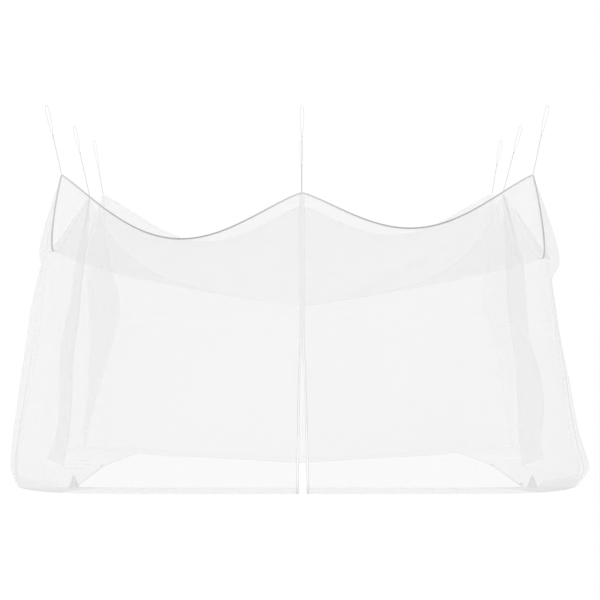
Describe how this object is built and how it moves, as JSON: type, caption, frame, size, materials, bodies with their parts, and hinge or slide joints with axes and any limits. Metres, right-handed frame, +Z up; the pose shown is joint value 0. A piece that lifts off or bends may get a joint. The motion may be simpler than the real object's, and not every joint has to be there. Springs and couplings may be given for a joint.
{
  "type": "gazebo mosquito net",
  "caption": "Box-shaped mosquito net of fine sheer mesh for a gazebo: sagging roof, walls down to the floor, a slit in the front wall, hung from cords with loops.",
  "frame": {"origin": "on the floor, at the middle of the net's outline seen from above", "axes": "+X across the front from left to right, +Y from the front with the slit to the back, +Z up"},
  "size_m": [3.3844, 2.8228, 2.1465],
  "materials": {
    "net": "sheer fine mesh, white",
    "tape": "woven tape, grey",
    "cord": "soft white cord, matt"
  },
  "bodies": {
    "root": {"roof": "net", "wall_left": "net", "wall_right": "net", "wall_back": "net", "wall_front_left": "net", "wall_front_right": "net", "binding_left": "tape", "binding_right": "tape", "binding_back": "tape", "binding_front": "tape", "slit_tape_left": "tape", "slit_tape_right": "tape", "cord_front_left": "cord", "knot_front_left": "cord", "cord_front_middle": "cord", "knot_front_middle": "cord", "cord_front_right": "cord", "knot_front_right": "cord", "cord_right_middle": "cord", "knot_right_middle": "cord", "cord_back_right": "cord", "knot_back_right": "cord", "cord_back_middle": "cord", "knot_back_middle": "cord", "cord_back_left": "cord", "knot_back_left": "cord", "cord_left_middle": "cord", "knot_left_middle": "cord"}
  },
  "joints": []
}
